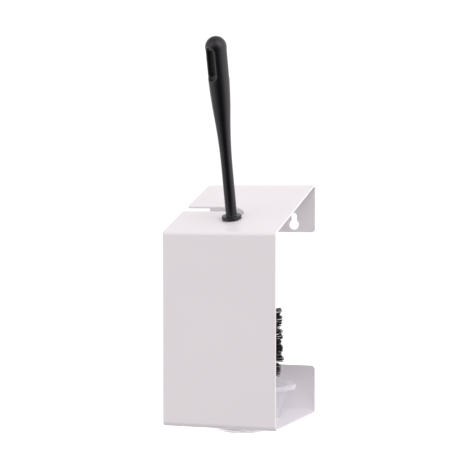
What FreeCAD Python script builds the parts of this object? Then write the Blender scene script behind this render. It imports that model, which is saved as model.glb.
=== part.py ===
import FreeCAD, Part
import math
import os
import Sketcher

# Wall-mounted toilet brush holder. Millimetres. +Z is up, +Y points at the wall, and the wall plane
# is Y = 0. The origin is on the wall, midway between the two keyholes that hang the holder.

doc = FreeCAD.newDocument("toilet_brush_holder")
sheet = doc.addObject("Spreadsheet::Sheet", "Sizes")

SIZES = [
    # the holder: one strip of sheet steel, bent four times
    ("plate_width", 120.0),
    ("plate_thickness", 2.0),
    ("wall_depth", 138.5),
    ("top_slope", 19.64),
    ("top_above_keyholes", 44.3),
    ("base_below_keyholes", 202.4),
    ("upper_flange_height", 52.3),
    ("lower_flange_height", 51.4),
    ("bend_outer_radius", 5.0),
    ("bend_inner_radius", "=bend_outer_radius - plate_thickness"),
    ("flange_corner_radius", 4.0),
    # keyholes in the upper flange
    ("keyhole_pitch", 73.2),
    ("keyhole_radius", 5.3),
    ("keyhole_neck_radius", 3.0),
    ("keyhole_rise", 9.6),
    # the slot that the brush neck slides into, measured across (u) and up the slope (v)
    ("slot_width", 13.5),
    ("slot_inner_radius", 8.5),
    ("slot_entry_near", 60.0),
    ("slot_corner_across", -13.0),
    ("slot_seat_along", 37.9),
    ("slot_mouth_rounding", 3.0),
    # drip cup: a shallow bowl up to the knee, then a steeper cone that wedges in the base plate
    ("cup_centre_y", -65.0),
    ("cup_below_plate", 12.0),
    ("cup_base_radius", 24.0),
    ("cup_knee_radius", 37.6),
    ("cup_knee_height", 11.0),
    ("cup_height", 49.6),
    ("cup_flare", 0.3),
    ("cup_wall", 1.6),
    ("cup_lip_radius", 55.8),
    ("cup_lip_drop", 4.5),
    ("cup_base_rounding", 3.5),
    ("cup_knee_rounding", 6.0),
    # brush: heights are measured along its own axis from the underside of the collar
    ("brush_lean", 15.3),
    ("brush_across", 1.5),
    ("collar_along", 37.9),
    ("collar_radius", 10.2),
    ("collar_thickness", 3.0),
    ("collar_rounding", 0.8),
    ("collar_root_rounding", 1.2),
    ("neck_radius", 5.75),
    ("grip_radius", 10.8),
    ("grip_start", 53.0),
    ("grip_full", 158.0),
    ("handle_top", 187.0),
    ("stem_end", -98.0),
    ("spigot_radius", 4.0),
    ("spigot_end", -120.0),
    ("hanging_slot_azimuth", -35.5),
    ("hanging_slot_radius", 5.0),
    ("hanging_slot_rounding", 1.9),
    ("hanging_slot_low", 148.5),
    ("hanging_slot_high", 171.4),
    # brush head
    ("core_bore_radius", 4.03),
    ("core_top_radius", 6.6),
    ("core_radius", 12.0),
    ("core_shoulder", -102.0),
    ("core_dome_centre", -160.0),
    ("tuft_hole_radius", 1.5),
    ("tuft_root_radius", 1.45),
    ("tuft_depth", 3.5),
    ("tuft_straight", 2.0),
    ("tuft_tip_radius", 2.9),
    # values that follow from the ones above
    ("half_width", "=plate_width / 2"),
    ("rear_top", "=top_above_keyholes"),
    ("front_top", "=rear_top - wall_depth * tan(top_slope)"),
    ("base", "=-base_below_keyholes"),
    ("rear_top_inner", "=rear_top - plate_thickness * (tan(top_slope) + 1 / cos(top_slope))"),
    ("front_top_inner",
     "=rear_top - (wall_depth - plate_thickness) * tan(top_slope) - plate_thickness / cos(top_slope)"),
    ("upper_flange_end", "=rear_top - upper_flange_height"),
    ("lower_flange_end", "=base + lower_flange_height"),
    ("slot_outer_radius", "=slot_inner_radius + slot_width"),
    ("slot_corner_along", "=slot_entry_near - slot_inner_radius"),
    ("cup_under_lip", "=cup_height - cup_wall"),
    ("cup_under_lip_radius", "=cup_knee_radius + cup_flare * (cup_under_lip - cup_knee_height)"),
    ("cup_hole_radius",
     "=cup_knee_radius + cup_flare * (cup_below_plate + plate_thickness - cup_knee_height) + 0.05"),
    ("cup_inner_top_radius", "=cup_under_lip_radius + cup_flare * cup_wall - cup_wall * 1.05"),
    ("cup_inner_knee_radius", "=cup_knee_radius - cup_wall * 0.9"),
    ("cup_inner_knee_height", "=cup_knee_height + cup_wall * 0.6"),
    ("cup_inner_base_radius", "=cup_base_radius - cup_wall * 0.4"),
    ("collar_lift", "=collar_radius * sin(top_slope - brush_lean) + 0.02"),
    ("collar_y", "=-wall_depth + collar_along * cos(top_slope) - collar_lift * sin(top_slope)"),
    ("collar_z", "=front_top + collar_along * sin(top_slope) + collar_lift * cos(top_slope)"),
    ("grip_rise", "=grip_radius - neck_radius"),
    ("grip_half_length", "=(grip_full - grip_start) / 2"),
    ("grip_curve_radius", "=(grip_half_length ^ 2 + (grip_rise / 2) ^ 2) / grip_rise"),
]
for row, (alias, value) in enumerate(SIZES, start=1):
    sheet.set(f"A{row}", alias)
    sheet.set(f"B{row}", str(value))
    sheet.setAlias(f"B{row}", alias)

# Every ring of tufts: name, height of its root, tilt towards the tip, reach from the core axis
# along the tilt, number of tufts, and the turn of its first tuft.
ROWS = [(f"bristle_row_{i + 1:02d}", -105.0 - 7.2 * i, 0.0, 42.8 - 0.33 * i, 14, (i % 2) * 180.0 / 14)
        for i in range(8)]
ROWS += [
    ("bristle_row_09", -160.0, 12.0, 37.5, 14, 0.0),
    ("bristle_row_10", -160.0, 36.0, 35.5, 10, 9.0),
    ("bristle_end_ring", -160.0, 62.0, 33.0, 6, 20.0),
    ("bristle_end_tuft", -160.0, 90.0, 30.0, 1, 0.0),
]
for offset, (name, height, tilt, reach, count, turn) in enumerate(ROWS):
    row = len(SIZES) + 1 + 4 * offset
    for step, (part, value) in enumerate(
            [("height", height), ("tilt", tilt), ("reach", reach), ("turn", turn)]):
        alias = f"{name}_{part}"
        sheet.set(f"A{row + step}", alias)
        sheet.set(f"B{row + step}", str(value))
        sheet.setAlias(f"B{row + step}", alias)
doc.recompute()


def size(alias):
    """The number that the sheet holds under an alias."""
    return float(sheet.get(alias))


def place(obj, across="0", depth="0", height="0", lean=None):
    """Bind an object's Placement to the sheet: position in mm, and lean about X in degrees."""
    if lean:
        obj.Placement = FreeCAD.Placement(FreeCAD.Vector(), FreeCAD.Rotation(FreeCAD.Vector(1, 0, 0), 1))
        obj.setExpression("Placement.Rotation.Angle", lean)
    obj.setExpression("Placement.Base.x", across)
    obj.setExpression("Placement.Base.y", depth)
    obj.setExpression("Placement.Base.z", height)


def new_body(label):
    """A PartDesign body whose label names the file it is written to."""
    body = doc.addObject("PartDesign::Body", label)
    body.Label = label
    return body


def new_sketch(body, name, plane):
    """An empty sketch on one of the body's own origin planes."""
    sketch = body.newObject("Sketcher::SketchObject", name)
    support = [f for f in body.Origin.OriginFeatures if f.Role == plane][0]
    sketch.AttachmentSupport = [(support, "")]
    sketch.MapMode = "FlatFace"
    return sketch


def dimension(sketch, kind, args, expression):
    """Add a driving constraint and bind it to an expression of the sheet."""
    value = sketch.evalExpression(expression)
    value = float(getattr(value, "Value", value))
    index = sketch.addConstraint(Sketcher.Constraint(kind, *args, value))
    sketch.setExpression(f"Constraints[{index}]", expression)
    return value


def pin_point(sketch, geometry, vertex, across, up):
    """Hold one vertex at (across, up), each an expression or None for a coordinate on the axis."""
    for kind, expression in (("DistanceX", across), ("DistanceY", up)):
        if expression is None:
            line = -2 if kind == "DistanceX" else -1
            sketch.addConstraint(Sketcher.Constraint("PointOnObject", geometry, vertex, line))
        else:
            dimension(sketch, kind, (-1, 1, geometry, vertex), expression)


def polygon(sketch, corners):
    """A closed outline of straight lines. Each corner is a pair of expressions."""
    points = []
    for across, up in corners:
        pair = [0.0 if e is None else sketch.evalExpression(e) for e in (across, up)]
        points.append(FreeCAD.Vector(*[float(getattr(v, "Value", v)) for v in pair], 0))
    count = len(points)
    first = sketch.GeometryCount
    for i in range(count):
        sketch.addGeometry(Part.LineSegment(points[i], points[(i + 1) % count]), False)
    for i in range(count):
        sketch.addConstraint(
            Sketcher.Constraint("Coincident", first + i, 2, first + (i + 1) % count, 1))
    for i, (across, up) in enumerate(corners):
        pin_point(sketch, first + i, 1, across, up)


def s(alias):
    """How an expression names a value of the sheet."""
    return f"Sizes.{alias}"


def extrude(body, kind, sketch, name, length):
    """Pad or Pocket to both sides of the sketch; length is the whole thickness."""
    feature = body.newObject(f"PartDesign::{kind}", name)
    feature.Profile = sketch
    feature.SideType = "Symmetric"
    feature.setExpression("Length", length)
    doc.recompute()
    return feature


def revolve(body, kind, sketch, name, axis="V_Axis"):
    """Revolution or Groove of a half outline by a full turn about one of the sketch's axes."""
    feature = body.newObject(f"PartDesign::{kind}", name)
    feature.Profile = sketch
    feature.ReferenceAxis = (sketch, [axis])
    feature.Angle = 360.0
    doc.recompute()
    return feature


def round_edges(body, base, name, radius, wanted):
    """Round the edges of base for which wanted(edge) is true."""
    edges = [f"Edge{i}" for i, e in enumerate(base.Shape.Edges, start=1) if wanted(e)]
    feature = body.newObject("PartDesign::Fillet", name)
    feature.Base = (base, edges)
    feature.setExpression("Radius", radius)
    doc.recompute()
    return feature


def polar(body, feature, name, count):
    """Repeat a feature round the body's Z axis."""
    pattern = body.newObject("PartDesign::PolarPattern", name)
    pattern.Originals = [feature]
    axis = [f for f in body.Origin.OriginFeatures if f.Role == "Z_Axis"][0]
    pattern.Axis = (axis, [""])
    pattern.Angle = 360.0
    pattern.Occurrences = count
    body.Tip = pattern
    doc.recompute()
    return pattern


# ---- holder body: a 2 mm steel strip, open at both sides, with a sloping top ----
holder = new_body("holder_body")
profile = new_sketch(holder, "SheetProfile", "YZ_Plane")
inner_y = f"-{s('plate_thickness')}"
front_inner_y = f"-{s('wall_depth')} + {s('plate_thickness')}"
polygon(profile, [
    (None, s("upper_flange_end")),
    (None, s("rear_top")),
    (f"-{s('wall_depth')}", s("front_top")),
    (f"-{s('wall_depth')}", s("base")),
    (None, s("base")),
    (None, s("lower_flange_end")),
    (inner_y, s("lower_flange_end")),
    (inner_y, f"{s('base')} + {s('plate_thickness')}"),
    (front_inner_y, f"{s('base')} + {s('plate_thickness')}"),
    (front_inner_y, s("front_top_inner")),
    (inner_y, s("rear_top_inner")),
    (inner_y, s("upper_flange_end")),
])
strip = extrude(holder, "Pad", profile, "Strip", s("plate_width"))

depth, thick = size("wall_depth"), size("plate_thickness")
outer_corners = [(0, size("rear_top")), (-depth, size("front_top")), (-depth, size("base")), (0, size("base"))]
inner_corners = [(-thick, size("rear_top_inner")), (thick - depth, size("front_top_inner")),
                 (thick - depth, size("base") + thick), (-thick, size("base") + thick)]


def along_x_at(corners):
    """Picks edges that run along X through one of the corners (Y, Z)."""
    def wanted(edge):
        a, b = edge.Vertexes[0].Point, edge.Vertexes[-1].Point
        if abs(a.x - b.x) < 1.0:
            return False
        return any(math.hypot(a.y - y, a.z - z) < 0.01 for y, z in corners)
    return wanted


def flange_tip(edge):
    """Picks the short edges through the sheet at the free corners of the two flanges."""
    a, b = edge.Vertexes[0].Point, edge.Vertexes[-1].Point
    across = abs(a.y - b.y) > 1.0 and abs(a.z - b.z) < 0.01 and abs(a.x - b.x) < 0.01
    at_end = min(abs(a.z - size("upper_flange_end")), abs(a.z - size("lower_flange_end"))) < 0.01
    return across and at_end


outer_bends = round_edges(holder, strip, "OuterBends", s("bend_outer_radius"), along_x_at(outer_corners))
bends = round_edges(holder, outer_bends, "InnerBends", s("bend_inner_radius"), along_x_at(inner_corners))
corners = round_edges(holder, bends, "FlangeCorners", s("flange_corner_radius"), flange_tip)

# the J-shaped slot is drawn on the top face, u across and v up the slope from the front corner
slot = new_sketch(holder, "BrushSlot", "XY_Plane")
slot.AttachmentOffset = FreeCAD.Placement(FreeCAD.Vector(), FreeCAD.Rotation(FreeCAD.Vector(1, 0, 0), 1))
slot.setExpression("AttachmentOffset.Rotation.Angle", s("top_slope"))
slot.setExpression("AttachmentOffset.Base.y", f"-{s('wall_depth')}")
slot.setExpression("AttachmentOffset.Base.z", s("front_top"))
u0, v0 = size("slot_corner_across"), size("slot_corner_along")
r_in, r_out, seat_v = size("slot_inner_radius"), size("slot_outer_radius"), size("slot_seat_along")
left_u, near_v, far_v = -size("half_width") - 6.0, v0 + r_in, v0 + r_out
right_leg, left_leg = u0 + r_out, u0 + r_in
seat_u, seat_r = (right_leg + left_leg) / 2, (right_leg - left_leg) / 2
up = FreeCAD.Vector(0, 0, 1)
V = FreeCAD.Vector
outline = [
    Part.LineSegment(V(left_u, far_v, 0), V(u0, far_v, 0)),
    Part.ArcOfCircle(Part.Circle(V(u0, v0, 0), up, r_out), 0, math.pi / 2),
    Part.LineSegment(V(right_leg, v0, 0), V(right_leg, seat_v, 0)),
    Part.ArcOfCircle(Part.Circle(V(seat_u, seat_v, 0), up, seat_r), math.pi, 2 * math.pi),
    Part.LineSegment(V(left_leg, seat_v, 0), V(left_leg, v0, 0)),
    Part.ArcOfCircle(Part.Circle(V(u0, v0, 0), up, r_in), 0, math.pi / 2),
    Part.LineSegment(V(u0, near_v, 0), V(left_u, near_v, 0)),
    Part.LineSegment(V(left_u, near_v, 0), V(left_u, far_v, 0)),
]
slot.addGeometry(outline, False)
for a, a_end, b, b_end in ((0, 2, 1, 2), (1, 1, 2, 1), (2, 2, 3, 2), (3, 1, 4, 1), (4, 2, 5, 1), (5, 2, 6, 1)):
    slot.addConstraint(Sketcher.Constraint("Tangent", a, a_end, b, b_end))
slot.addConstraint(Sketcher.Constraint("Coincident", 6, 2, 7, 1))
slot.addConstraint(Sketcher.Constraint("Coincident", 7, 2, 0, 1))
slot.addConstraint(Sketcher.Constraint("Coincident", 1, 3, 5, 3))
slot.addConstraint(Sketcher.Constraint("Horizontal", 0))
slot.addConstraint(Sketcher.Constraint("Horizontal", 6))
slot.addConstraint(Sketcher.Constraint("Vertical", 2))
slot.addConstraint(Sketcher.Constraint("Vertical", 4))
slot.addConstraint(Sketcher.Constraint("Vertical", 7))
pin_point(slot, 5, 3, s("slot_corner_across"), s("slot_corner_along"))
dimension(slot, "Radius", (5,), s("slot_inner_radius"))
dimension(slot, "Radius", (1,), s("slot_outer_radius"))
dimension(slot, "DistanceY", (-1, 1, 3, 3), s("slot_seat_along"))
dimension(slot, "DistanceX", (-1, 1, 0, 1), f"-{s('half_width')} - 6")
slot_cut = extrude(holder, "Pocket", slot, "BrushSlotCut", f"6 * {s('plate_thickness')}")


def slot_mouth(edge):
    """Picks the two short edges through the sheet where the slot opens at its left side."""
    a, b = edge.Vertexes[0].Point, edge.Vertexes[-1].Point
    on_side = max(abs(a.x + size("half_width")), abs(b.x + size("half_width"))) < 0.01
    return on_side and abs(edge.Length - thick) < 0.01


round_edges(holder, slot_cut, "SlotMouth", s("slot_mouth_rounding"), slot_mouth)

# keyholes: a round entry for the screw head and a narrow rise that its shank hangs in
entries = new_sketch(holder, "KeyholeEntries", "XZ_Plane")
rises = new_sketch(holder, "KeyholeRises", "XZ_Plane")
pitch, neck_r, rise = size("keyhole_pitch"), size("keyhole_neck_radius"), size("keyhole_rise")
for side in (-1, 1):
    across = f"{side} * {s('keyhole_pitch')} / 2"
    x = side * pitch / 2
    entry = entries.addGeometry(Part.Circle(V(x, 0, 0), up, size("keyhole_radius")), False)
    pin_point(entries, entry, 3, across, None)
    dimension(entries, "Radius", (entry,), s("keyhole_radius"))
    low = rises.addGeometry(
        Part.ArcOfCircle(Part.Circle(V(x, 0, 0), up, neck_r), math.pi, 2 * math.pi), False)
    high = rises.addGeometry(
        Part.ArcOfCircle(Part.Circle(V(x, rise, 0), up, neck_r), 0, math.pi), False)
    right = rises.addGeometry(Part.LineSegment(V(x + neck_r, 0, 0), V(x + neck_r, rise, 0)), False)
    left = rises.addGeometry(Part.LineSegment(V(x - neck_r, rise, 0), V(x - neck_r, 0, 0)), False)
    for a, a_end, b, b_end in ((low, 2, right, 1), (right, 2, high, 1), (high, 2, left, 1), (left, 2, low, 1)):
        rises.addConstraint(Sketcher.Constraint("Tangent", a, a_end, b, b_end))
    rises.addConstraint(Sketcher.Constraint("Vertical", right))
    pin_point(rises, low, 3, across, None)
    dimension(rises, "DistanceY", (low, 3, high, 3), s("keyhole_rise"))
    dimension(rises, "Radius", (low,), s("keyhole_neck_radius"))
extrude(holder, "Pocket", entries, "KeyholeEntryCut", f"4 * {s('plate_thickness')}")
extrude(holder, "Pocket", rises, "KeyholeRiseCut", f"4 * {s('plate_thickness')}")

# the round hole in the base that the cup drops into and wedges in
cup_hole = new_sketch(holder, "CupHole", "XY_Plane")
cup_hole.setExpression("AttachmentOffset.Base.z", s("base"))
ring = cup_hole.addGeometry(
    Part.Circle(V(0, size("cup_centre_y"), 0), up, size("cup_hole_radius")), False)
pin_point(cup_hole, ring, 3, None, s("cup_centre_y"))
dimension(cup_hole, "Radius", (ring,), s("cup_hole_radius"))
extrude(holder, "Pocket", cup_hole, "CupHoleCut", f"6 * {s('plate_thickness')}")
place(holder)

# ---- drip cup: a moulded bowl with a conical upper wall and a turned-down lip ----
cup = new_body("drip_cup")
cup_outline = new_sketch(cup, "CupOutline", "XZ_Plane")
lip_inner = f"{s('cup_lip_radius')} - {s('cup_wall')}"
lip_low = f"{s('cup_height')} - {s('cup_lip_drop')}"
polygon(cup_outline, [
    (None, None),
    (s("cup_base_radius"), None),
    (s("cup_knee_radius"), s("cup_knee_height")),
    (s("cup_under_lip_radius"), s("cup_under_lip")),
    (lip_inner, s("cup_under_lip")),
    (lip_inner, lip_low),
    (s("cup_lip_radius"), lip_low),
    (s("cup_lip_radius"), s("cup_height")),
    (s("cup_inner_top_radius"), s("cup_height")),
    (s("cup_inner_knee_radius"), s("cup_inner_knee_height")),
    (s("cup_inner_base_radius"), s("cup_wall")),
    (None, s("cup_wall")),
])
cup_turned = revolve(cup, "Revolution", cup_outline, "CupTurned")


def circle_at(radius, height):
    """Picks full circles of a given radius and height about the body's own axis."""
    def wanted(edge):
        if edge.Degenerated or not isinstance(edge.Curve, Part.Circle):
            return False
        return abs(edge.Curve.Radius - radius) < 0.01 and abs(edge.Curve.Center.z - height) < 0.01
    return wanted


cup_base = round_edges(cup, cup_turned, "CupBaseRounding", s("cup_base_rounding"),
                       circle_at(size("cup_base_radius"), 0.0))
cup_floor = round_edges(cup, cup_base, "CupFloorRounding", f"{s('cup_base_rounding')} - 1",
                        circle_at(size("cup_inner_base_radius"), size("cup_wall")))
cup_knee = round_edges(cup, cup_floor, "CupKneeRounding", s("cup_knee_rounding"),
                       circle_at(size("cup_knee_radius"), size("cup_knee_height")))
cup_inner_knee = round_edges(cup, cup_knee, "CupInnerKneeRounding", f"{s('cup_knee_rounding')} - 1",
                             circle_at(size("cup_inner_knee_radius"), size("cup_inner_knee_height")))
round_edges(cup, cup_inner_knee, "CupLipRounding", f"{s('cup_wall')} * 0.4",
            circle_at(size("cup_lip_radius"), size("cup_height")))
place(cup, depth=s("cup_centre_y"), height=f"{s('base')} - {s('cup_below_plate')}")

# ---- brush handle: one moulding with a collar, a swelling grip and a hanging slot ----
handle = new_body("brush_handle")
half = new_sketch(handle, "HandleOutline", "XZ_Plane")
neck_x, grip_x, collar_x = size("neck_radius"), size("grip_radius"), size("collar_radius")
start, full, top = size("grip_start"), size("grip_full"), size("handle_top")
mid_x, mid_z = (neck_x + grip_x) / 2, (start + full) / 2
curve_r = size("grip_curve_radius")
sweep = math.asin((full - start) / 2 / curve_r)
dome_z = top - grip_x
spigot_x, stem_z, spigot_z = size("spigot_radius"), size("stem_end"), size("spigot_end")
collar_z = size("collar_thickness")
half.addGeometry([
    Part.LineSegment(V(0, top, 0), V(0, spigot_z, 0)),
    Part.LineSegment(V(0, spigot_z, 0), V(spigot_x, spigot_z, 0)),
    Part.LineSegment(V(spigot_x, spigot_z, 0), V(spigot_x, stem_z, 0)),
    Part.LineSegment(V(spigot_x, stem_z, 0), V(neck_x, stem_z, 0)),
    Part.LineSegment(V(neck_x, stem_z, 0), V(neck_x, 0, 0)),
    Part.LineSegment(V(neck_x, 0, 0), V(collar_x, 0, 0)),
    Part.LineSegment(V(collar_x, 0, 0), V(collar_x, collar_z, 0)),
    Part.LineSegment(V(collar_x, collar_z, 0), V(neck_x, collar_z, 0)),
    Part.LineSegment(V(neck_x, collar_z, 0), V(neck_x, start, 0)),
    Part.ArcOfCircle(Part.Circle(V(neck_x + curve_r, start, 0), up, curve_r), math.pi - sweep, math.pi),
    Part.ArcOfCircle(Part.Circle(V(grip_x - curve_r, full, 0), up, curve_r), -sweep, 0),
    Part.LineSegment(V(grip_x, full, 0), V(grip_x, dome_z, 0)),
    Part.ArcOfCircle(Part.Circle(V(0, dome_z, 0), up, grip_x), 0, math.pi / 2),
], False)
for a, a_end, b, b_end in ((0, 2, 1, 1), (1, 2, 2, 1), (2, 2, 3, 1), (3, 2, 4, 1), (4, 2, 5, 1), (5, 2, 6, 1),
                           (6, 2, 7, 1), (7, 2, 8, 1), (12, 2, 0, 1)):
    half.addConstraint(Sketcher.Constraint("Coincident", a, a_end, b, b_end))
for a, a_end, b, b_end in ((8, 2, 9, 2), (9, 1, 10, 1), (10, 2, 11, 1), (11, 2, 12, 1)):
    half.addConstraint(Sketcher.Constraint("Tangent", a, a_end, b, b_end))
for line in (1, 3, 5, 7):
    half.addConstraint(Sketcher.Constraint("Horizontal", line))
for line in (0, 2, 4, 6, 8, 11):
    half.addConstraint(Sketcher.Constraint("Vertical", line))
half.addConstraint(Sketcher.Constraint("PointOnObject", 0, 1, -2))
half.addConstraint(Sketcher.Constraint("PointOnObject", 12, 3, -2))
half.addConstraint(Sketcher.Constraint("PointOnObject", 5, 1, -1))
dimension(half, "DistanceY", (-1, 1, 0, 1), s("handle_top"))
dimension(half, "DistanceY", (-1, 1, 1, 1), s("spigot_end"))
dimension(half, "DistanceX", (-1, 1, 2, 1), s("spigot_radius"))
dimension(half, "DistanceY", (-1, 1, 3, 1), s("stem_end"))
dimension(half, "DistanceX", (-1, 1, 4, 1), s("neck_radius"))
dimension(half, "DistanceX", (-1, 1, 6, 1), s("collar_radius"))
dimension(half, "DistanceY", (-1, 1, 7, 1), s("collar_thickness"))
half.addConstraint(Sketcher.Constraint("PointOnObject", 8, 1, 4))
dimension(half, "DistanceY", (-1, 1, 8, 2), s("grip_start"))
dimension(half, "Radius", (9,), s("grip_curve_radius"))
dimension(half, "Radius", (10,), s("grip_curve_radius"))
dimension(half, "Radius", (12,), s("grip_radius"))
handle_turned = revolve(handle, "Revolution", half, "HandleTurned")

hang = new_sketch(handle, "HangingSlot", "XZ_Plane")
hang.setExpression(
    "AttachmentOffset",
    f"placement(vector(0; 0; 0); rotation(vector(0; 1; 0); {s('hanging_slot_azimuth')}))")
hang_r, hang_low, hang_high = (size(f"hanging_slot_{k}") for k in ("radius", "low", "high"))
hang.addGeometry([
    Part.ArcOfCircle(Part.Circle(V(0, hang_low, 0), up, hang_r), math.pi, 2 * math.pi),
    Part.LineSegment(V(hang_r, hang_low, 0), V(hang_r, hang_high, 0)),
    Part.ArcOfCircle(Part.Circle(V(0, hang_high, 0), up, hang_r), 0, math.pi),
    Part.LineSegment(V(-hang_r, hang_high, 0), V(-hang_r, hang_low, 0)),
], False)
for a, a_end, b, b_end in ((0, 2, 1, 1), (1, 2, 2, 1), (2, 2, 3, 1), (3, 2, 0, 1)):
    hang.addConstraint(Sketcher.Constraint("Tangent", a, a_end, b, b_end))
hang.addConstraint(Sketcher.Constraint("Vertical", 1))
pin_point(hang, 0, 3, None, s("hanging_slot_low"))
dimension(hang, "DistanceY", (-1, 1, 2, 3), s("hanging_slot_high"))
dimension(hang, "Radius", (0,), s("hanging_slot_radius"))
hang_cut = extrude(handle, "Pocket", hang, "HangingSlotCut", f"4 * {s('grip_radius')}")


def slot_rim(edge):
    """Picks the edges where the hanging slot breaks through the grip's outer surface."""
    if edge.Degenerated:
        return False
    middle = edge.valueAt((edge.FirstParameter + edge.LastParameter) / 2)
    turn = math.radians(size("hanging_slot_azimuth"))
    across = middle.x * math.cos(turn) + middle.y * math.sin(turn)
    nearest = min(max(middle.z, hang_low), hang_high)
    on_outline = abs(math.hypot(across, middle.z - nearest) - hang_r) < 0.01
    return on_outline and math.hypot(middle.x, middle.y) > 0.9 * grip_x


hang_rim = round_edges(handle, hang_cut, "HangingSlotRim", s("hanging_slot_rounding"), slot_rim)
collar_top = round_edges(handle, hang_rim, "CollarTopEdge", s("collar_rounding"),
                         circle_at(collar_x, collar_z))
round_edges(handle, collar_top, "CollarRoot", s("collar_root_rounding"), circle_at(neck_x, collar_z))

# ---- head core: screwed on to the handle's spigot and drilled for the tufts ----
core = new_body("brush_head_core")
core_half = new_sketch(core, "CoreOutline", "XZ_Plane")
core_x, dome_z = size("core_radius"), size("core_dome_centre")
bore_x, core_top_x, shoulder_z = size("core_bore_radius"), size("core_top_radius"), size("core_shoulder")
core_half.addGeometry([
    Part.LineSegment(V(bore_x, stem_z, 0), V(core_top_x, stem_z, 0)),
    Part.LineSegment(V(core_top_x, stem_z, 0), V(core_x, shoulder_z, 0)),
    Part.LineSegment(V(core_x, shoulder_z, 0), V(core_x, dome_z, 0)),
    Part.ArcOfCircle(Part.Circle(V(0, dome_z, 0), up, core_x), -math.pi / 2, 0),
    Part.LineSegment(V(0, dome_z - core_x, 0), V(0, spigot_z - 1, 0)),
    Part.LineSegment(V(0, spigot_z - 1, 0), V(bore_x, spigot_z - 1, 0)),
    Part.LineSegment(V(bore_x, spigot_z - 1, 0), V(bore_x, stem_z, 0)),
], False)
for a, a_end, b, b_end in ((0, 2, 1, 1), (1, 2, 2, 1), (3, 1, 4, 1), (4, 2, 5, 1), (5, 2, 6, 1), (6, 2, 0, 1)):
    core_half.addConstraint(Sketcher.Constraint("Coincident", a, a_end, b, b_end))
core_half.addConstraint(Sketcher.Constraint("Tangent", 2, 2, 3, 2))
core_half.addConstraint(Sketcher.Constraint("Horizontal", 0))
core_half.addConstraint(Sketcher.Constraint("Horizontal", 5))
core_half.addConstraint(Sketcher.Constraint("Vertical", 2))
core_half.addConstraint(Sketcher.Constraint("Vertical", 4))
core_half.addConstraint(Sketcher.Constraint("Vertical", 6))
core_half.addConstraint(Sketcher.Constraint("PointOnObject", 4, 1, -2))
core_half.addConstraint(Sketcher.Constraint("PointOnObject", 3, 3, -2))
dimension(core_half, "DistanceX", (-1, 1, 0, 1), s("core_bore_radius"))
dimension(core_half, "DistanceY", (-1, 1, 0, 1), s("stem_end"))
dimension(core_half, "DistanceX", (-1, 1, 1, 1), s("core_top_radius"))
dimension(core_half, "DistanceX", (-1, 1, 2, 1), s("core_radius"))
dimension(core_half, "DistanceY", (-1, 1, 2, 1), s("core_shoulder"))
dimension(core_half, "DistanceY", (-1, 1, 3, 3), s("core_dome_centre"))
dimension(core_half, "DistanceY", (-1, 1, 5, 1), f"{s('spigot_end')} - 1")
revolve(core, "Revolution", core_half, "CoreTurned")


def tuft_sketch(body, name, row, corners):
    """A half outline drawn outward from the core axis, turned, tilted and raised as its ring asks."""
    sketch = new_sketch(body, name, "XZ_Plane")
    sketch.setExpression("AttachmentOffset",
                         f"placement(vector(0; {s(row + '_height')}; 0); "
                         f"rotation(vector(0; 1; 0); -{s(row + '_turn')}) * "
                         f"rotation(vector(0; 0; -1); {s(row + '_tilt')}))")
    polygon(sketch, corners)
    return sketch


def ring_of(feature, count):
    """Repeat one tuft or hole round the axis, or leave a single one as it is."""
    if count > 1:
        polar(feature.getParentGeoFeatureGroup(), feature, f"{feature.Name}Ring", count)


root = f"{s('core_radius')} - {s('tuft_depth')}"
surface = f"{s('core_radius')} + 4"
for name, height, tilt, reach, count, turn in ROWS:
    hole = tuft_sketch(core, f"Hole_{name}", name, [
        (root, None), (surface, None), (surface, s("tuft_hole_radius")), (root, s("tuft_hole_radius"))])
    ring_of(revolve(core, "Groove", hole, f"Drill_{name}", "H_Axis"), count)
place(core, s("brush_across"), s("collar_y"), s("collar_z"), s("brush_lean"))
place(handle, s("brush_across"), s("collar_y"), s("collar_z"), s("brush_lean"))

# ---- bristles: every tuft is its own solid, one body for each ring of tufts ----
bodies = [holder, cup, handle, core]
for name, height, tilt, reach, count, turn in ROWS:
    body = new_body(name)
    straight = f"{s('core_radius')} + {s('tuft_straight')}"
    tip = s(f"{name}_reach")
    tuft = tuft_sketch(body, f"Tuft_{name}", name, [
        (root, None), (tip, None), (tip, s("tuft_tip_radius")), (straight, s("tuft_root_radius")),
        (root, s("tuft_root_radius"))])
    ring_of(revolve(body, "Revolution", tuft, f"Turned_{name}", "H_Axis"), count)
    place(body, s("brush_across"), s("collar_y"), s("collar_z"), s("brush_lean"))
    bodies.append(body)
doc.recompute()

for obj in doc.Objects:
    if "Invalid" in obj.State or "Error" in obj.State:
        raise RuntimeError(f"{obj.Label}: {obj.State}")

os.makedirs("parts", exist_ok=True)
for body in bodies:
    if body.Shape.isNull() or not body.Shape.isValid():
        raise RuntimeError(f"{body.Label} has no valid shape")
    body.Shape.exportStep(f"parts/{body.Label}.step")
    print(body.Label, len(body.Shape.Solids), "solids", round(body.Shape.Volume / 1000, 2), "cm3")
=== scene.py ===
# %% [markdown]
# # A toilet brush holder that hangs on a wall
#
# The holder is one strip of 2 mm steel, bent four times and powder coated white. A black brush
# hangs by its collar in a slot in the sloping top, and a translucent cup under it catches the
# drips. This lesson dresses the plain engineering model: it softens the cut edges of the sheet,
# turns the cup again with a rounded lip, and grows real filaments on the brush head.
# Everything is in metres, +Z is up, and the wall is the plane Y = 0.

# %% Load the engineering model
import math

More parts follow.
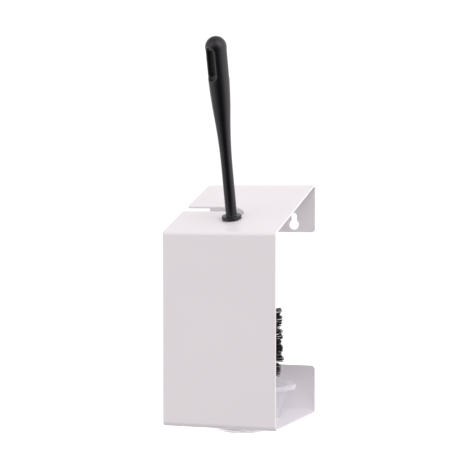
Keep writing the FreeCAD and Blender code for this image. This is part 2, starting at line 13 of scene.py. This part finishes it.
import bmesh
import bpy
import numpy as np
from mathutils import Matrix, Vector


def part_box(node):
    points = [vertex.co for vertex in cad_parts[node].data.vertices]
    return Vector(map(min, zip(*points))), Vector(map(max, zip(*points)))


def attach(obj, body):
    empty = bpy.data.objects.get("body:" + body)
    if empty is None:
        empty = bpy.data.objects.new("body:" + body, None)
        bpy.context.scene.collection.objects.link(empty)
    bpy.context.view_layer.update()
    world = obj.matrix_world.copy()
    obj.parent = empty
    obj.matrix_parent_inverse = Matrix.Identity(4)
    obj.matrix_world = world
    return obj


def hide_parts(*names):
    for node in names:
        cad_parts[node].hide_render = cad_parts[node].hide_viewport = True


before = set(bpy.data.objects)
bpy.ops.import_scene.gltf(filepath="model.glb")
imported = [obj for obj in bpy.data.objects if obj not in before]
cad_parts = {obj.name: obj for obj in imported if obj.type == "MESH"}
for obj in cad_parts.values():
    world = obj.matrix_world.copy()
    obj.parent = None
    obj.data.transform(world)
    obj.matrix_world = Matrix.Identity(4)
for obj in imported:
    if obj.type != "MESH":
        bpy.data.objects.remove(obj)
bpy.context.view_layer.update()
MM = 0.001

# %% [markdown]
# ## Colours and nodes
#
# Paint charts give colours as sRGB hex values, but a shader adds up light, which needs linear
# values. One function turns one into the other. A second small function adds a node, sets its
# values and joins its inputs, so that each material below reads as a short recipe.


# %% Colour and node helpers
def linear(hex_colour):
    """sRGB hex to linear RGBA: c / 12.92 near black, else ((c + 0.055) / 1.055) ** 2.4."""
    c = np.array([int(hex_colour[i:i + 2], 16) for i in (1, 3, 5)]) / 255.0
    c = np.where(c <= 0.04045, c / 12.92, ((c + 0.055) / 1.055) ** 2.4)
    return (*c.tolist(), 1.0)


def add_node(tree, kind, settings=None, values=None, links=None):
    """One node: settings are its properties, values its sockets' numbers, links what feeds them."""
    node = tree.nodes.new(kind)
    for key, value in (settings or {}).items():
        setattr(node, key, value)
    for key, value in (values or {}).items():
        node.inputs[key].default_value = value
    for key, source in (links or {}).items():
        tree.links.new(source, node.inputs[key])
    return node


def new_material(name):
    """A node material with only its output and object coordinates, ready for a recipe."""
    material = bpy.data.materials.new(name)
    material.use_nodes = True
    tree = material.node_tree
    tree.nodes.clear()
    output = tree.nodes.new("ShaderNodeOutputMaterial")
    coords = tree.nodes.new("ShaderNodeTexCoord").outputs["Object"]
    return material, tree, output.inputs["Surface"], coords


def per_metre(feature_mm):
    """The scale of a noise texture whose features are about feature_mm across."""
    return 1.0 / (feature_mm * MM)


# A Mix node has a set of sockets for each kind of data, all called A, B and Result, so its colour
# sockets are reached by number.
COLOUR_A, COLOUR_B, COLOUR_OUT = 6, 7, 2


# %% [markdown]
# ## White powder coat
#
# Polyester powder is sprayed on dry and baked until it flows. It never flows quite flat: it keeps
# a faint orange peel about 1.5 mm across, which breaks up reflections, so the coat is satin and
# not a mirror. One even colour would do, but a real coat is never quite even, so the white drifts
# by a percent or two, and the gloss by more, over about 90 mm.


# %% Powder coat material
def powder_coat():
    material, tree, surface, coords = new_material("white_polyester_powder_coat_baked")
    drift = add_node(tree, "ShaderNodeTexNoise",
                     values={"Scale": per_metre(90), "Detail": 2.0}, links={"Vector": coords})
    white = add_node(tree, "ShaderNodeMix", {"data_type": "RGBA"},
                     {COLOUR_A: linear("#eae7e9"), COLOUR_B: linear("#edeaec")},
                     {"Factor": drift.outputs["Fac"]})
    peel = add_node(tree, "ShaderNodeTexNoise",
                    values={"Scale": per_metre(1.5), "Detail": 2.0, "Roughness": 0.4},
                    links={"Vector": coords})
    bump = add_node(tree, "ShaderNodeBump", values={"Strength": 0.10, "Distance": 0.06 * MM},
                    links={"Height": peel.outputs["Fac"]})
    gloss = add_node(tree, "ShaderNodeMapRange", values={"To Min": 0.27, "To Max": 0.33},
                     links={"Value": drift.outputs["Fac"]})
    shader = add_node(tree, "ShaderNodeBsdfPrincipled", values={"IOR": 1.5},
                      links={"Base Color": white.outputs[COLOUR_OUT],
                             "Roughness": gloss.outputs["Result"],
                             "Normal": bump.outputs["Normal"]})
    tree.links.new(shader.outputs["BSDF"], surface)
    return material


# %% [markdown]
# ## Black moulded polypropylene
#
# The handle and the head core come out of steel moulds that were spark-eroded, so the black
# plastic has a fine satin grain instead of a mirror skin. Light slides along the grip in broad
# soft bands. The real grain is about 0.2 mm. It is drawn at 0.5 mm, so that it still breaks the
# highlight at this size. A slow mottle of 14 mm varies the black and the roughness a little.


# %% Black plastic material
def black_plastic(name, dark, light, gloss_low, gloss_high):
    material, tree, surface, coords = new_material(name)
    mottle = add_node(tree, "ShaderNodeTexNoise", values={"Scale": per_metre(14), "Detail": 3.0},
                      links={"Vector": coords})
    black = add_node(tree, "ShaderNodeMix", {"data_type": "RGBA"},
                     {COLOUR_A: linear(dark), COLOUR_B: linear(light)},
                     {"Factor": mottle.outputs["Fac"]})
    grain = add_node(tree, "ShaderNodeTexNoise", values={"Scale": per_metre(0.5), "Detail": 2.0},
                     links={"Vector": coords})
    bump = add_node(tree, "ShaderNodeBump", values={"Strength": 0.22, "Distance": 0.05 * MM},
                    links={"Height": grain.outputs["Fac"]})
    gloss = add_node(tree, "ShaderNodeMapRange", values={"To Min": gloss_low, "To Max": gloss_high},
                     links={"Value": mottle.outputs["Fac"]})
    shader = add_node(tree, "ShaderNodeBsdfPrincipled", values={"IOR": 1.49},
                      links={"Base Color": black.outputs[COLOUR_OUT],
                             "Roughness": gloss.outputs["Result"],
                             "Normal": bump.outputs["Normal"]})
    tree.links.new(shader.outputs["BSDF"], surface)
    return material


# %% [markdown]
# ## Translucent polypropylene
#
# Natural polypropylene without pigment is milky and slightly blue. Some light passes straight
# through the thin wall, so the plate behind shows faintly, and the rest wanders about inside the
# plastic before it comes out. The first part is the shader's alpha and the second its subsurface
# light. Transmission in place of alpha was tried too, and left the inside of the cup darker.
# Flow marks from the mould run round the cup in faint bands about 4 mm apart.


# %% Cup material
FLOW_BANDS = 75.0   # a wave texture repeats every 2 pi / 20 / scale metres, here 4.2 mm


def milky_plastic():
    material, tree, surface, coords = new_material("natural_polypropylene_moulded")
    flow = add_node(tree, "ShaderNodeTexWave", {"wave_type": "BANDS", "bands_direction": "Z"},
                    {"Scale": FLOW_BANDS, "Distortion": 2.0, "Detail": 2.0, "Detail Scale": 1.0},
                    {"Vector": coords})
    milk = add_node(tree, "ShaderNodeMix", {"data_type": "RGBA"},
                    {COLOUR_A: linear("#f1f1ff"), COLOUR_B: linear("#f4f4ff")},
                    {"Factor": flow.outputs["Fac"]})
    shader = add_node(tree, "ShaderNodeBsdfPrincipled",
                      values={"IOR": 1.49, "Roughness": 0.30, "Alpha": 0.52,
                              "Subsurface Weight": 1.0, "Subsurface Scale": 20.0 * MM,
                              "Subsurface Radius": (1.0, 1.0, 1.0)},
                      links={"Base Color": milk.outputs[COLOUR_OUT]})
    tree.links.new(shader.outputs["BSDF"], surface)
    return material


# %% [markdown]
# ## Nylon filaments
#
# Bristles are extruded nylon. One filament is as smooth as fishing line, but a thousand of them
# side by side look almost matt, so the shine is turned down here. No two lie at quite the same
# angle or have quite the same black, and that difference is what makes a clump read as many
# filaments. Noise in space would colour neighbours alike, so each filament carries its own tone
# as an attribute.


# %% Bristle material
def nylon_filament():
    material, tree, surface, _ = new_material("black_nylon_filament_extruded")
    tone = add_node(tree, "ShaderNodeAttribute", {"attribute_name": "tone"})
    black = add_node(tree, "ShaderNodeMix", {"data_type": "RGBA"},
                     {COLOUR_A: linear("#040404"), COLOUR_B: linear("#121112")},
                     {"Factor": tone.outputs["Fac"]})
    shader = add_node(tree, "ShaderNodeBsdfPrincipled",
                      values={"IOR": 1.53, "Roughness": 0.45, "Specular IOR Level": 0.2},
                      links={"Base Color": black.outputs[COLOUR_OUT]})
    tree.links.new(shader.outputs["BSDF"], surface)
    return material


# %% Make the materials
POWDER_COAT = powder_coat()
HANDLE_PLASTIC = black_plastic("black_polypropylene_spark_eroded_mould", "#0c0a0f", "#100e14",
                               gloss_low=0.26, gloss_high=0.34)
CORE_PLASTIC = black_plastic("black_polypropylene_head_core", "#0b0a0c", "#100f11",
                             gloss_low=0.36, gloss_high=0.46)
MILKY_PLASTIC = milky_plastic()
NYLON = nylon_filament()
print("materials:", [m.name for m in bpy.data.materials])

# %% [markdown]
# ## The bent sheet
#
# The engineering model already has the right plates, bends, slot and keyholes, but its cut edges
# are knife sharp. A laser-cut edge that has been deburred and coated is round over about 0.4 mm,
# and catches a thin light line. The sheet could be drawn again from nothing, but a copy of the
# exact shape with a small bevel keeps every hole where it is. The copy is made of loose
# triangles, so its points are merged and its flat faces joined before the bevel is added.


# %% Copy of a CAD node, and dressing a piece
MERGE_DISTANCE = 0.002 * MM
FLAT_WITHIN = math.radians(0.4)


def merged_copy(node, name):
    """A copy of a CAD node with its points merged and its flat faces joined into large ones."""
    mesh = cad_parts[node].data.copy()
    mesh.name = name
    bm = bmesh.new()
    bm.from_mesh(mesh)
    bmesh.ops.remove_doubles(bm, verts=bm.verts, dist=MERGE_DISTANCE)
    bmesh.ops.dissolve_limit(bm, angle_limit=FLAT_WITHIN, verts=bm.verts, edges=bm.edges)
    bm.to_mesh(mesh)
    bm.free()
    mesh.shade_smooth()
    piece = bpy.data.objects.new(name, mesh)
    bpy.context.scene.collection.objects.link(piece)
    return piece


def dress(piece, material, body, slot, *nodes):
    """Give a finished piece its material and body, and hide the CAD nodes it stands for.
    slot: not used.
    """
    piece.data.materials.clear()
    piece.data.materials.append(material)
    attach(piece, body)
    if nodes:
        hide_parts(*nodes)
    print(piece.name, len(piece.data.vertices), "points")
    return piece


# %% Holder sheet
EDGE_ROUNDING = 0.4 * MM
SHARPER_THAN = math.radians(40)

sheet = merged_copy("holder_body", "holder_sheet")
edge = sheet.modifiers.new("deburred_edge", "BEVEL")
edge.width = EDGE_ROUNDING
edge.segments = 2
edge.limit_method = "ANGLE"
edge.angle_limit = SHARPER_THAN
edge.harden_normals = False
flat = sheet.modifiers.new("flat_plates", "WEIGHTED_NORMAL")
flat.weight = 100
flat.keep_sharp = False
dress(sheet, POWDER_COAT, "holder", "powder_coat", "holder_body")

# %% [markdown]
# ## The drip cup
#
# A cup is a surface of revolution: one outline carried round an axis. The outline is a list of
# corners in (radius, height), each with a rounding radius, because a moulded cup has no sharp
# corner anywhere. It starts and ends on the axis, so the turned skin closes on itself. Blender's
# Screw modifier would do the same, but a formula over the whole grid keeps every point in hand.


# %% Turned surfaces
def rounded_outline(corners, steps=5):
    """Each corner (r, z, radius) becomes a short curve: the quadratic blend of the two points that
    lie that far back along its sides, with the corner itself as the middle control point."""
    points = []
    xy = np.array([c[:2] for c in corners], float)
    for i, (r, z, radius) in enumerate(corners):
        here = xy[i]
        if radius == 0 or i in (0, len(corners) - 1):
            points.append(here)
            continue
        before, after = xy[i - 1] - here, xy[i + 1] - here
        start = here + before / np.linalg.norm(before) * radius
        end = here + after / np.linalg.norm(after) * radius
        t = np.linspace(0, 1, steps)[:, None]
        points.extend((1 - t) ** 2 * start + 2 * t * (1 - t) * here + t ** 2 * end)
    return np.array(points)


def turned_mesh(name, outline, sides=144):
    """x = r cos a, y = r sin a, z = z, for every outline point (r, z) and every angle a."""
    a = np.linspace(0, 2 * np.pi, sides, endpoint=False)
    r, z = outline[:, 0][:, None], outline[:, 1][:, None]
    points = np.stack([r * np.cos(a), r * np.sin(a), z + 0 * a], axis=-1).reshape(-1, 3)
    i, j = np.meshgrid(np.arange(len(outline) - 1), np.arange(sides), indexing="ij")
    k = (j + 1) % sides
    quads = np.stack([i * sides + j, i * sides + k, (i + 1) * sides + k, (i + 1) * sides + j], -1)
    mesh = bpy.data.meshes.new(name)
    mesh.from_pydata(points.tolist(), [], quads.reshape(-1, 4).tolist())
    bm = bmesh.new()
    bm.from_mesh(mesh)
    bmesh.ops.remove_doubles(bm, verts=bm.verts, dist=0.001 * MM)
    bmesh.ops.recalc_face_normals(bm, faces=bm.faces)
    bm.to_mesh(mesh)
    bm.free()
    mesh.shade_smooth()
    return mesh


def placed(mesh, name, place):
    """An object at the origin whose mesh has been moved to its place in the model."""
    points = np.empty(len(mesh.vertices) * 3, np.float32)
    mesh.vertices.foreach_get("co", points)
    mesh.vertices.foreach_set("co", place(points.reshape(-1, 3)).astype(np.float32).ravel())
    mesh.update()
    piece = bpy.data.objects.new(name, mesh)
    bpy.context.scene.collection.objects.link(piece)
    return piece


# %% Drip cup's outline, in millimetres
CUP_BASE, CUP_LIP = 24.0, 55.8       # radii of the base and the lip
CUP_TOP, CUP_WALL = 49.6, 1.6        # height, and thickness of floor and lip
KNEE_R, KNEE_Z = 37.6, 11.0          # where the bowl turns up into the cone
CUP_FLARE = 0.3                      # radius that the cone gains for each unit of height
LIP_DROP, LIP_WALL = 4.5, 1.3        # how far the lip turns down, and how thick that band is
FOOT_RECESS, FOOT_WIDTH = 0.9, 4.0   # the hollow under the base, and the foot ring round it
FOOT_LEAN = 0.6                      # how far the ring's inner wall leans in
under_lip = CUP_TOP - CUP_WALL
wall_top = KNEE_R + CUP_FLARE * (under_lip - KNEE_Z)
floor_top = CUP_WALL + FOOT_RECESS
cup_corners = [
    (0.0, FOOT_RECESS, 0.0),
    (CUP_BASE - FOOT_WIDTH, FOOT_RECESS, 0.5),
    (CUP_BASE - FOOT_WIDTH - FOOT_LEAN, 0.0, 0.4),
    (CUP_BASE, 0.0, 3.0),
    (KNEE_R, KNEE_Z, 5.0),
    (wall_top, under_lip, 1.0),
    (CUP_LIP - LIP_WALL, under_lip, 0.8),
    (CUP_LIP - LIP_WALL, CUP_TOP - LIP_DROP, 0.5),
    (CUP_LIP, CUP_TOP - LIP_DROP, 0.5),
    (CUP_LIP, CUP_TOP, 0.9),
    (wall_top - 1.2, CUP_TOP, 1.2),
    (KNEE_R - 1.4, KNEE_Z + 1.0, 5.0),
    (CUP_BASE - 0.6, floor_top, 3.0),
    (0.0, floor_top, 0.0),
]
print("cup radius under the lip:", round(wall_top, 1), "mm")

# %% Turn and place the drip cup
cup_low, cup_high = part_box("drip_cup")
cup_centre = np.array([(cup_low.x + cup_high.x) / 2, (cup_low.y + cup_high.y) / 2, cup_low.z])
cup_mesh = turned_mesh("drip_cup_moulded", rounded_outline(cup_corners) * MM)
cup = placed(cup_mesh, "drip_cup_moulded", lambda p: p + cup_centre)
dress(cup, MILKY_PLASTIC, "cup", "cup_plastic", "drip_cup")

# %% [markdown]
# ## The handle and the head core
#
# The handle's engineering shape is already what the mould makes: collar, slim neck, grip that
# swells towards the dome, and a hanging slot with a rounded rim. It stays as it is and only gets
# its finish. So does the drilled core, of which little shows between the bristles.

# %% Handle and core
for node, material in (("brush_handle", HANDLE_PLASTIC), ("brush_head_core", CORE_PLASTIC)):
    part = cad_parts[node]
    part.data.materials.clear()
    part.data.materials.append(material)
    print(node, "finished as", material.name)

# %% [markdown]
# ## The bristles
#
# A tufting machine folds a bundle of filaments and stakes it into a drilled hole. The bundle
# leaves the hole tight and fans out towards the tips. Hair particles could do this, but they
# would not be solid geometry, so every filament is a thin four-sided tube, made for a whole ring
# at once as one array. A filament is 0.42 mm across its corners at the root, and there are 44 in
# each bundle.
# The arrays below count tufts first, then filaments, steps along one, points round it, and x y z.


# %% Filament sizes, in millimetres
LEAN = math.radians(15.3)
COLLAR = np.array([1.5, -103.071, 8.358]) * MM   # the brush's own origin, at its collar
FILAMENTS = 44
STEPS, SIDES = 6, 4          # rings of points along a filament, and points in each ring
ROOT_OUT = 8.8               # how far from the brush's axis the filaments start
ROOT_SPREAD = 1.2            # radius of the bundle in its hole
HALF_THICK, TAPER = 0.21, 0.25
FULL_TURN = 6.28             # a turn in radians, near enough for a random start
GOLDEN_ANGLE = 2.399963      # puts neighbours on a disc evenly, as seeds lie on a sunflower
TUFT_WANDER = 0.9            # how far a whole tuft's tip strays sideways
SCATTER = 0.4                # how far one filament's tip strays
STRAY_SHARE, STRAY_EXTRA = 0.14, 3.5   # a few filaments stray this many times more
UNEVEN_CUT = 1.2             # how much longer or shorter one filament may be
TUFT_LONGER, TUFT_SHORTER = 0.5, 0.7   # the same for a whole tuft
FAN_POWER = 1.4              # above 1, so that a tuft stays tight near its hole
rng = np.random.default_rng(11)


# %% Filament arrays
def lean_and_place(p):
    """Turn about X by the brush's lean, then move the brush's origin to its place."""
    c, s = math.cos(LEAN), math.sin(LEAN)
    turn = np.array([[1, 0, 0], [0, c, -s], [0, s, c]])
    return p @ turn.T + COLLAR


def tuft_axes(tilt, count, turn):
    """Each tuft's middle line points out at its own azimuth and down by the tilt. Side is level
    and square to it, and rise is the cross product of the two."""
    azimuth = np.radians(-turn + np.arange(count) * 360.0 / count)[:, None]
    droop = math.radians(tilt)
    zero = np.zeros_like(azimuth)
    along = np.concatenate([math.cos(droop) * np.cos(azimuth), math.cos(droop) * np.sin(azimuth),
                            zero - math.sin(droop)], 1)[:, None, None, :]
    side = np.concatenate([-np.sin(azimuth), np.cos(azimuth), zero], 1)[:, None, None, :]
    return along, side, np.cross(side, along)


def tube_faces(tubes):
    """Point j of ring i joins point j + 1 and the same two points of ring i + 1; each end is one
    four-sided cap. Known fault: rise is side x along, so the rings run clockwise seen from the
    tip, and faces in this order point inwards. The points of every face reversed mend it."""
    base = (np.arange(tubes) * STEPS * SIDES)[:, None, None]
    row = (np.arange(STEPS - 1) * SIDES)[None, :, None]
    j = np.arange(SIDES)[None, None, :]
    nxt = (j + 1) % SIDES
    walls = np.stack([base + row + j, base + row + nxt,
                      base + row + SIDES + nxt, base + row + SIDES + j], -1)
    first = base[:, 0, 0][:, None]
    last = (STEPS - 1) * SIDES
    caps = np.concatenate([first + np.array([3, 2, 1, 0]), first + last + np.arange(4)])
    return np.concatenate([walls.reshape(-1, 4), caps])


def tuft_ring(name, height, tilt, reach, count, turn, tip_spread):
    """Every filament runs from its place in the hole to a tip that lies further from the tuft's
    middle line: sideways distance = start + (end - start) * t ** power for t from 0 at the root to
    1 at the tip."""
    along, side, rise = tuft_axes(tilt, count, turn)
    k = np.arange(FILAMENTS)
    start_r = ROOT_SPREAD * np.sqrt((k + 0.5) / FILAMENTS)
    start_a = k * GOLDEN_ANGLE + rng.uniform(0, FULL_TURN, (count, 1))
    u0, v0 = start_r * np.cos(start_a), start_r * np.sin(start_a)
    bend_u, bend_v = rng.normal(0, TUFT_WANDER, (2, count, 1))
    strays = rng.random((2, count, FILAMENTS)) < STRAY_SHARE
    stray = SCATTER * (1 + STRAY_EXTRA * strays) * rng.normal(0, 1, (2, count, FILAMENTS))
    u1 = u0 * tip_spread / ROOT_SPREAD + bend_u + stray[0]
    v1 = v0 * tip_spread / ROOT_SPREAD + bend_v + stray[1]
    length = reach - ROOT_OUT + rng.uniform(-UNEVEN_CUT, UNEVEN_CUT, (count, FILAMENTS))
    length = length - rng.uniform(-TUFT_LONGER, TUFT_SHORTER, (count, 1))
    t = np.linspace(0, 1, STEPS)
    fan = t ** FAN_POWER
    u = u0[..., None] + (u1 - u0)[..., None] * fan
    v = v0[..., None] + (v1 - v0)[..., None] * fan
    w = ROOT_OUT + length[..., None] * t
    centre = w[..., None] * along + u[..., None] * side + v[..., None] * rise
    centre = centre + np.array([0.0, 0.0, height])
    thick = HALF_THICK * (1 - TAPER * t)
    around = np.radians(45 + 90 * np.arange(SIDES))
    ring = np.cos(around)[:, None] * side[..., None, :] + np.sin(around)[:, None] * rise[..., None, :]
    points = centre[..., None, :] + thick[:, None, None] * ring
    tubes = count * FILAMENTS
    mesh = bpy.data.meshes.new(name)
    mesh.from_pydata((points.reshape(-1, 3) * MM).tolist(), [], tube_faces(tubes).tolist())
    tone = mesh.attributes.new("tone", "FLOAT", "POINT")
    per_tube = rng.uniform(0, 1, tubes)
    tone.data.foreach_set("value", np.repeat(per_tube, STEPS * SIDES).astype(np.float32))
    mesh.shade_smooth()
    return mesh


# %% [markdown]
# ## The rings of tufts
#
# The head has eight level rings of 14 tufts. Odd and even rings are turned by half a step, so the
# tufts of one stand over the gaps of the next, and each ring is 0.33 mm shorter than the one above
# because the head narrows towards its end. The domed end carries two drooping rings, a steep one
# and a single tuft straight down the axis. One list holds what differs, and one loop grows them.

# %% Grow every ring
LEVEL_TIP_SPREAD, DOME_TIP_SPREAD = 2.9, 4.0
TOP_RING, RING_STEP = -105.0, 7.2      # heights along the brush, in millimetres
TOP_REACH, REACH_STEP = 42.8, 0.33     # reach of the tips from the brush's axis
DOME_ROOTS = -160.0
TUFTS = 14
HALF_STEP = 180.0 / TUFTS

# name, height of the root, tilt, reach, number of tufts, turn of the first tuft
RINGS = [(f"bristle_row_{i + 1:02d}", TOP_RING - RING_STEP * i, 0.0, TOP_REACH - REACH_STEP * i,
          TUFTS, (i % 2) * HALF_STEP) for i in range(8)]
RINGS += [
    ("bristle_row_09", DOME_ROOTS, 12.0, 37.5, TUFTS, 0.0),
    ("bristle_row_10", DOME_ROOTS, 36.0, 35.5, 10, 9.0),
    ("bristle_end_ring", DOME_ROOTS, 62.0, 33.0, 6, 20.0),
    ("bristle_end_tuft", DOME_ROOTS, 90.0, 30.0, 1, 0.0),
]
for node, height, tilt, reach, count, turn in RINGS:
    spread = LEVEL_TIP_SPREAD if tilt == 0.0 else DOME_TIP_SPREAD
    filaments = placed(tuft_ring(node + "_filaments", height, tilt, reach, count, turn, spread),
                       node + "_filaments", lean_and_place)
    dress(filaments, NYLON, "brush", "bristle", node)

# %% [markdown]
# ## The floor
#
# The holder hangs clear of the floor, as it would on a wall. The floor is plain white paper. It
# stays out of reflections and bounced light, because the light tent below already holds its
# light, and without that it would be counted twice.

# %% Floor
FLOOR_Z = -0.62
FLOOR_HALF = 14.0
floor_mesh = bpy.data.meshes.new("studio_floor")
floor_mesh.from_pydata([(-FLOOR_HALF, -FLOOR_HALF, FLOOR_Z), (FLOOR_HALF, -FLOOR_HALF, FLOOR_Z),
                        (FLOOR_HALF, FLOOR_HALF, FLOOR_Z), (-FLOOR_HALF, FLOOR_HALF, FLOOR_Z)],
                       [], [(0, 1, 2, 3)])
floor = bpy.data.objects.new("studio_floor", floor_mesh)
bpy.context.scene.collection.objects.link(floor)
paper, paper_tree, paper_surface, _ = new_material("white_seamless_paper")
paper_shader = add_node(paper_tree, "ShaderNodeBsdfPrincipled", values={
    "Base Color": linear("#f4f4f4"), "Roughness": 0.9,
    "Emission Color": linear("#ffffff"), "Emission Strength": 0.6})
paper_tree.links.new(paper_shader.outputs["BSDF"], paper_surface)
floor_mesh.materials.append(paper)
floor.visible_glossy = False
floor.visible_diffuse = False
print("floor at", FLOOR_Z)

# %% [markdown]
# ## The light tent
#
# A product photographer lights satin black plastic with big white panels round it and leaves the
# camera's side dark: the plastic then shows bright bands along its edges and a black middle,
# which is what makes it look round. Area lamps could stand for the panels, but a lamp ends in an
# edge. Here the panels are the world itself, brighter or darker by direction with soft ramps
# between: a panel on the right, a key and a fill panel in front, a dim roof, and a black card low
# on the camera's side.


# %% Light by direction
def unit(turn, rise):
    """The direction that lies turn degrees from -Y towards +X and rise degrees above level."""
    a, e = math.radians(turn), math.radians(rise)
    return (math.sin(a) * math.cos(e), -math.cos(a) * math.cos(e), math.sin(e))


def panel(tree, towards, edge, centre, edge_light, centre_light):
    """Light by direction: a straight ramp over the cosine of the angle from the panel's middle,
    edge_light where the cosine is edge or less and centre_light where it is centre or more. Such
    numbers add up, and a negative one takes light away."""
    here = add_node(tree, "ShaderNodeTexCoord").outputs["Generated"]
    cosine = add_node(tree, "ShaderNodeVectorMath", {"operation": "DOT_PRODUCT"}, {1: towards}, {0: here})
    return add_node(tree, "ShaderNodeMapRange", values={
        "From Min": edge, "From Max": centre, "To Min": edge_light, "To Max": centre_light},
        links={"Value": cosine.outputs["Value"]}).outputs["Result"]


# %% Light tent
EVEN_LIGHT, NO_LIGHT, CARD_BLACK = 1.0, 0.0, 0.02
BACKDROP = 1.1        # what the camera sees behind everything, a little over white
FLOAT_A, FLOAT_B = 2, 3   # a Mix node's number sockets

world = bpy.data.worlds.new("light_tent")
bpy.context.scene.world = world
world.use_nodes = True
tent = world.node_tree
tent.nodes.clear()
# edge and centre are cosines: 0.97 is 14 degrees from the panel's middle, 0.70 is 46, 0.25 is 76
right = panel(tent, unit(96, 24), 0.25, 0.9, NO_LIGHT, 0.60)
key = panel(tent, unit(52, 25), 0.70, 0.97, NO_LIGHT, 1.45)
fill = panel(tent, unit(-30, 22), 0.70, 0.97, NO_LIGHT, 0.65)
roof = panel(tent, unit(0, 80), 0.2, 0.9, NO_LIGHT, -0.58)
card = panel(tent, unit(22, -30), 0.42, 0.97, 1.0, CARD_BLACK)
light = add_node(tent, "ShaderNodeMath", {"operation": "ADD"}, {1: EVEN_LIGHT}, {0: right})
for more in (key, fill, roof):
    light = add_node(tent, "ShaderNodeMath", {"operation": "ADD"}, links={0: light.outputs[0], 1: more})
light = add_node(tent, "ShaderNodeMath", {"operation": "MULTIPLY"}, links={0: light.outputs[0], 1: card})
seen = add_node(tent, "ShaderNodeLightPath").outputs["Is Camera Ray"]
strength = add_node(tent, "ShaderNodeMix", {"data_type": "FLOAT"}, {FLOAT_B: BACKDROP},
                    {"Factor": seen, FLOAT_A: light.outputs[0]})
sky = add_node(tent, "ShaderNodeBackground", values={"Color": linear("#fffbfd")},
               links={"Strength": strength.outputs[0]})
add_node(tent, "ShaderNodeOutputWorld", links={"Surface": sky.outputs["Background"]})
print("tent nodes:", len(tent.nodes))

# %% [markdown]
# ## The overhead softbox
#
# The tent's roof is dim, so that the sloping top stays a little darker than the backdrop. One
# large weak lamp overhead lifts it a little, without a hard shadow.

# %% Overhead softbox
SOFTBOX_SIZE = 1.5            # metres across
SOFTBOX_WATTS = 1.8
SOFTBOX_PLACE = (0.0, -0.3, 1.6)

softbox_data = bpy.data.lights.new("overhead_softbox", "AREA")
softbox_data.shape = "SQUARE"
softbox_data.size = SOFTBOX_SIZE
softbox_data.energy = SOFTBOX_WATTS
softbox = bpy.data.objects.new("overhead_softbox", softbox_data)
softbox.location = SOFTBOX_PLACE
softbox.visible_camera = False
bpy.context.scene.collection.objects.link(softbox)

# %% [markdown]
# ## The camera
#
# The camera stands about 1.65 m away, a little to the right, and looks down by less than two
# degrees, so upright edges stay almost upright. A long lens from that far keeps the front plate
# and the back flange nearly the same size. The Standard view transform keeps the whites white,
# where a filmic one would grey them.

# %% Camera
VIEW_TURN = math.radians(19.503)
VIEW_DROP = math.radians(1.606)
CAMERA_PLACE = (0.5216, -1.56153, 0.03463)
SENSOR_WIDTH = 36.0
LENS_OVER_SENSOR = 1519.0 / 470.0   # focal length over sensor width

camera_data = bpy.data.cameras.new("camera")
camera_data.sensor_width = SENSOR_WIDTH
camera_data.lens = SENSOR_WIDTH * LENS_OVER_SENSOR
camera = bpy.data.objects.new("camera", camera_data)
camera.location = CAMERA_PLACE
camera.rotation_euler = (math.pi / 2 - VIEW_DROP, 0.0, VIEW_TURN)
bpy.context.scene.collection.objects.link(camera)
bpy.context.scene.camera = camera
bpy.context.scene.view_settings.view_transform = "Standard"
print("lens:", round(camera_data.lens, 1), "mm")
